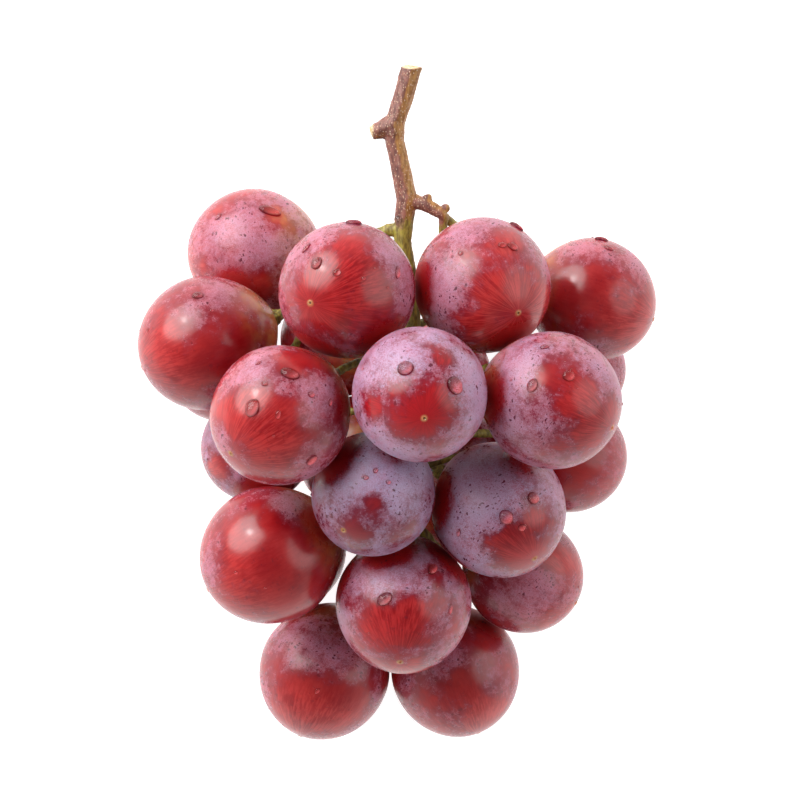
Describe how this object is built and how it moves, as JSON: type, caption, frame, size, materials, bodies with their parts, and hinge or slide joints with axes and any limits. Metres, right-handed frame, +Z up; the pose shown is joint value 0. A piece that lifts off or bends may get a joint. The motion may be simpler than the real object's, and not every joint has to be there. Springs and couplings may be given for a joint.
{
  "type": "bunch of grapes",
  "caption": "Bunch of ripe red table grapes on its cut stem, lying on its back: plump oval berries close together round a woody stalk that branches to each of them.",
  "frame": {"origin": "middle of the surface under the bunch, at the bottom of the bounding box", "axes": "+Y towards the cut end of the stem, -Y towards the tip of the bunch, +Z up from the surface that the bunch lies on, so its fuller face looks up"},
  "size_m": [0.1048, 0.1388, 0.0812],
  "materials": {
    "red_skin": "deep red grape skin with a thin whitish bloom, satin",
    "rosy_skin": "rose red grape skin with a thin bloom, satin",
    "lilac_skin": "red grape skin under a thick lilac bloom, satin to dull",
    "bark": "brown woody stem turning green towards the berries, dull",
    "water": "drops of clear water on the skins"
  },
  "bodies": {
    "root": {"stem": "bark", "berry_crown_left": "red_skin", "berry_crown_right": "red_skin", "berry_shoulder_left": "rosy_skin", "berry_shoulder_right": "red_skin", "berry_left": "red_skin", "berry_front_left": "red_skin", "berry_front": "lilac_skin", "berry_front_right": "red_skin", "berry_heart": "lilac_skin", "berry_waist_right": "lilac_skin", "berry_waist_left": "red_skin", "berry_lower_front": "red_skin", "berry_lower_right": "rosy_skin", "berry_back_right": "rosy_skin", "berry_back_left": "lilac_skin", "berry_core": "rosy_skin", "berry_tip_left": "rosy_skin", "berry_tip_right": "rosy_skin", "berry_under_side_left": "red_skin", "berry_under_side_right": "rosy_skin", "berry_under_shoulder_left": "rosy_skin", "berry_under_shoulder_right": "red_skin", "berry_under_left": "red_skin", "berry_under_right": "lilac_skin", "berry_under_waist": "rosy_skin", "berry_under_tip_left": "red_skin"}
  },
  "joints": []
}
